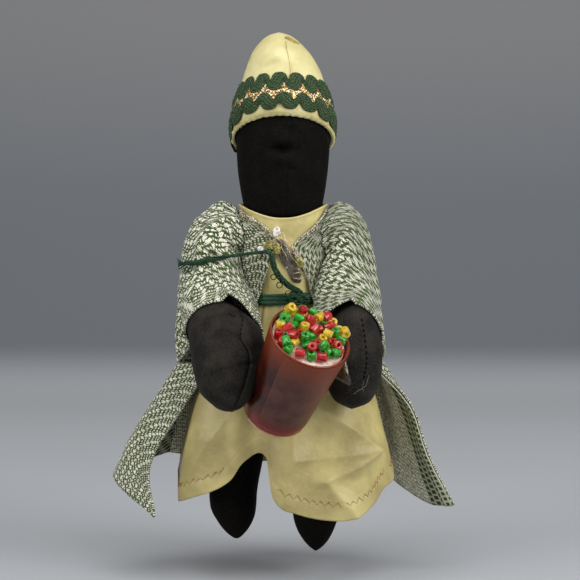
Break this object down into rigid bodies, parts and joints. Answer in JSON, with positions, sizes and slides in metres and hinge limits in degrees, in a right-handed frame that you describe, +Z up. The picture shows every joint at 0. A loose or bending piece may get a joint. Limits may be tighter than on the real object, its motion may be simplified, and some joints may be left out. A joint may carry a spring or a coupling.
{
  "type": "cloth doll",
  "caption": "Stuffed cloth doll in a satin robe, open woven coat and pointed cap, with jointed head, arms and legs, holding a cup of beads.",
  "frame": {"origin": "middle of the waist, where a doll stand's ring holds it", "axes": "+Z up from the waist to the cap, the doll faces -Y, and its own left side is +X"},
  "size_m": [0.1991, 0.1547, 0.3013],
  "materials": {
    "black_cotton": "plain black cotton, matte",
    "cream_satin": "satin with a soft sheen",
    "coat_weave": "slubby green and cream weave",
    "green_rickrack": "dark green woven wavy braid",
    "gold_braid": "metallic gold thread",
    "green_floss": "green stranded thread",
    "red_cup": "clear red-brown plastic",
    "frosted_wrap": "frosted clear film",
    "white_filler": "white foam filler",
    "clear_glue": "dried clear glue, glossy",
    "bead_red": "clear red plastic",
    "bead_green": "clear green plastic",
    "bead_yellow": "clear yellow plastic"
  },
  "bodies": {
    "trunk": {"torso": "black_cotton", "robe_bodice": "cream_satin", "robe_skirt": "cream_satin", "waist_sash": "green_floss", "sash_knot": "green_floss", "coat_back": "coat_weave", "coat_right_front": "coat_weave", "coat_left_front": "coat_weave", "coat_left_facing": "coat_weave", "chest_glue": "clear_glue", "green_floss": "green_floss"},
    "head": {"head": "black_cotton", "cap_crown": "cream_satin", "cap_brim_binding": "cream_satin", "cap_gold_braid": "gold_braid", "cap_upper_rickrack": "green_rickrack", "cap_lower_rickrack": "green_rickrack"},
    "right_arm": {"right_arm": "black_cotton", "coat_right_sleeve": "coat_weave"},
    "left_arm": {"left_arm": "black_cotton", "coat_left_sleeve": "coat_weave", "hand_glue": "clear_glue", "cup": "red_cup", "cup_label": "frosted_wrap", "cup_fill": "white_filler", "bead_01_green": "bead_green", "bead_02_red": "bead_red", "bead_03_yellow": "bead_yellow", "bead_04_green": "bead_green", "bead_05_red": "bead_red", "bead_06_green": "bead_green", "bead_07_green": "bead_green", "bead_08_red": "bead_red", "bead_09_yellow": "bead_yellow", "bead_10_green": "bead_green", "bead_11_red": "bead_red", "bead_12_green": "bead_green", "bead_13_red": "bead_red", "bead_14_yellow": "bead_yellow", "bead_15_green": "bead_green", "bead_16_red": "bead_red", "bead_17_yellow": "bead_yellow", "bead_18_green": "bead_green", "bead_19_red": "bead_red", "bead_20_green": "bead_green", "bead_21_yellow": "bead_yellow", "bead_22_red": "bead_red", "bead_23_green": "bead_green", "bead_24_red": "bead_red", "bead_25_yellow": "bead_yellow", "bead_26_green": "bead_green", "bead_27_red": "bead_red", "bead_28_yellow": "bead_yellow", "bead_29_green": "bead_green", "bead_30_red": "bead_red"},
    "right_leg": {"right_leg": "black_cotton"},
    "left_leg": {"left_leg": "black_cotton"}
  },
  "joints": [
    {"name": "head_turn", "type": "hinge", "parent": "trunk", "child": "head", "pos_m": [0, 0, 0.048], "axis": [0, 0, 1], "range_deg": [-30, 30]},
    {"name": "left_arm_raise", "type": "hinge", "parent": "trunk", "child": "left_arm", "pos_m": [0.04, 0, 0.038], "axis": [-1, 0, 0], "range_deg": [0, 25]},
    {"name": "right_arm_raise", "type": "hinge", "parent": "trunk", "child": "right_arm", "pos_m": [-0.04, 0, 0.038], "axis": [-1, 0, 0], "range_deg": [0, 25], "deforming": ["green_floss"]},
    {"name": "right_leg_swing", "type": "hinge", "parent": "trunk", "child": "right_leg", "pos_m": [-0.015, 0, -0.0592], "axis": [-1, 0, 0], "range_deg": [-10, 10]},
    {"name": "left_leg_swing", "type": "hinge", "parent": "trunk", "child": "left_leg", "pos_m": [0.015, 0, -0.0592], "axis": [-1, 0, 0], "range_deg": [-10, 10]}
  ],
  "couplings": [
    {"joint": "right_arm_raise", "follows": "left_arm_raise", "ratio": 1}
  ]
}
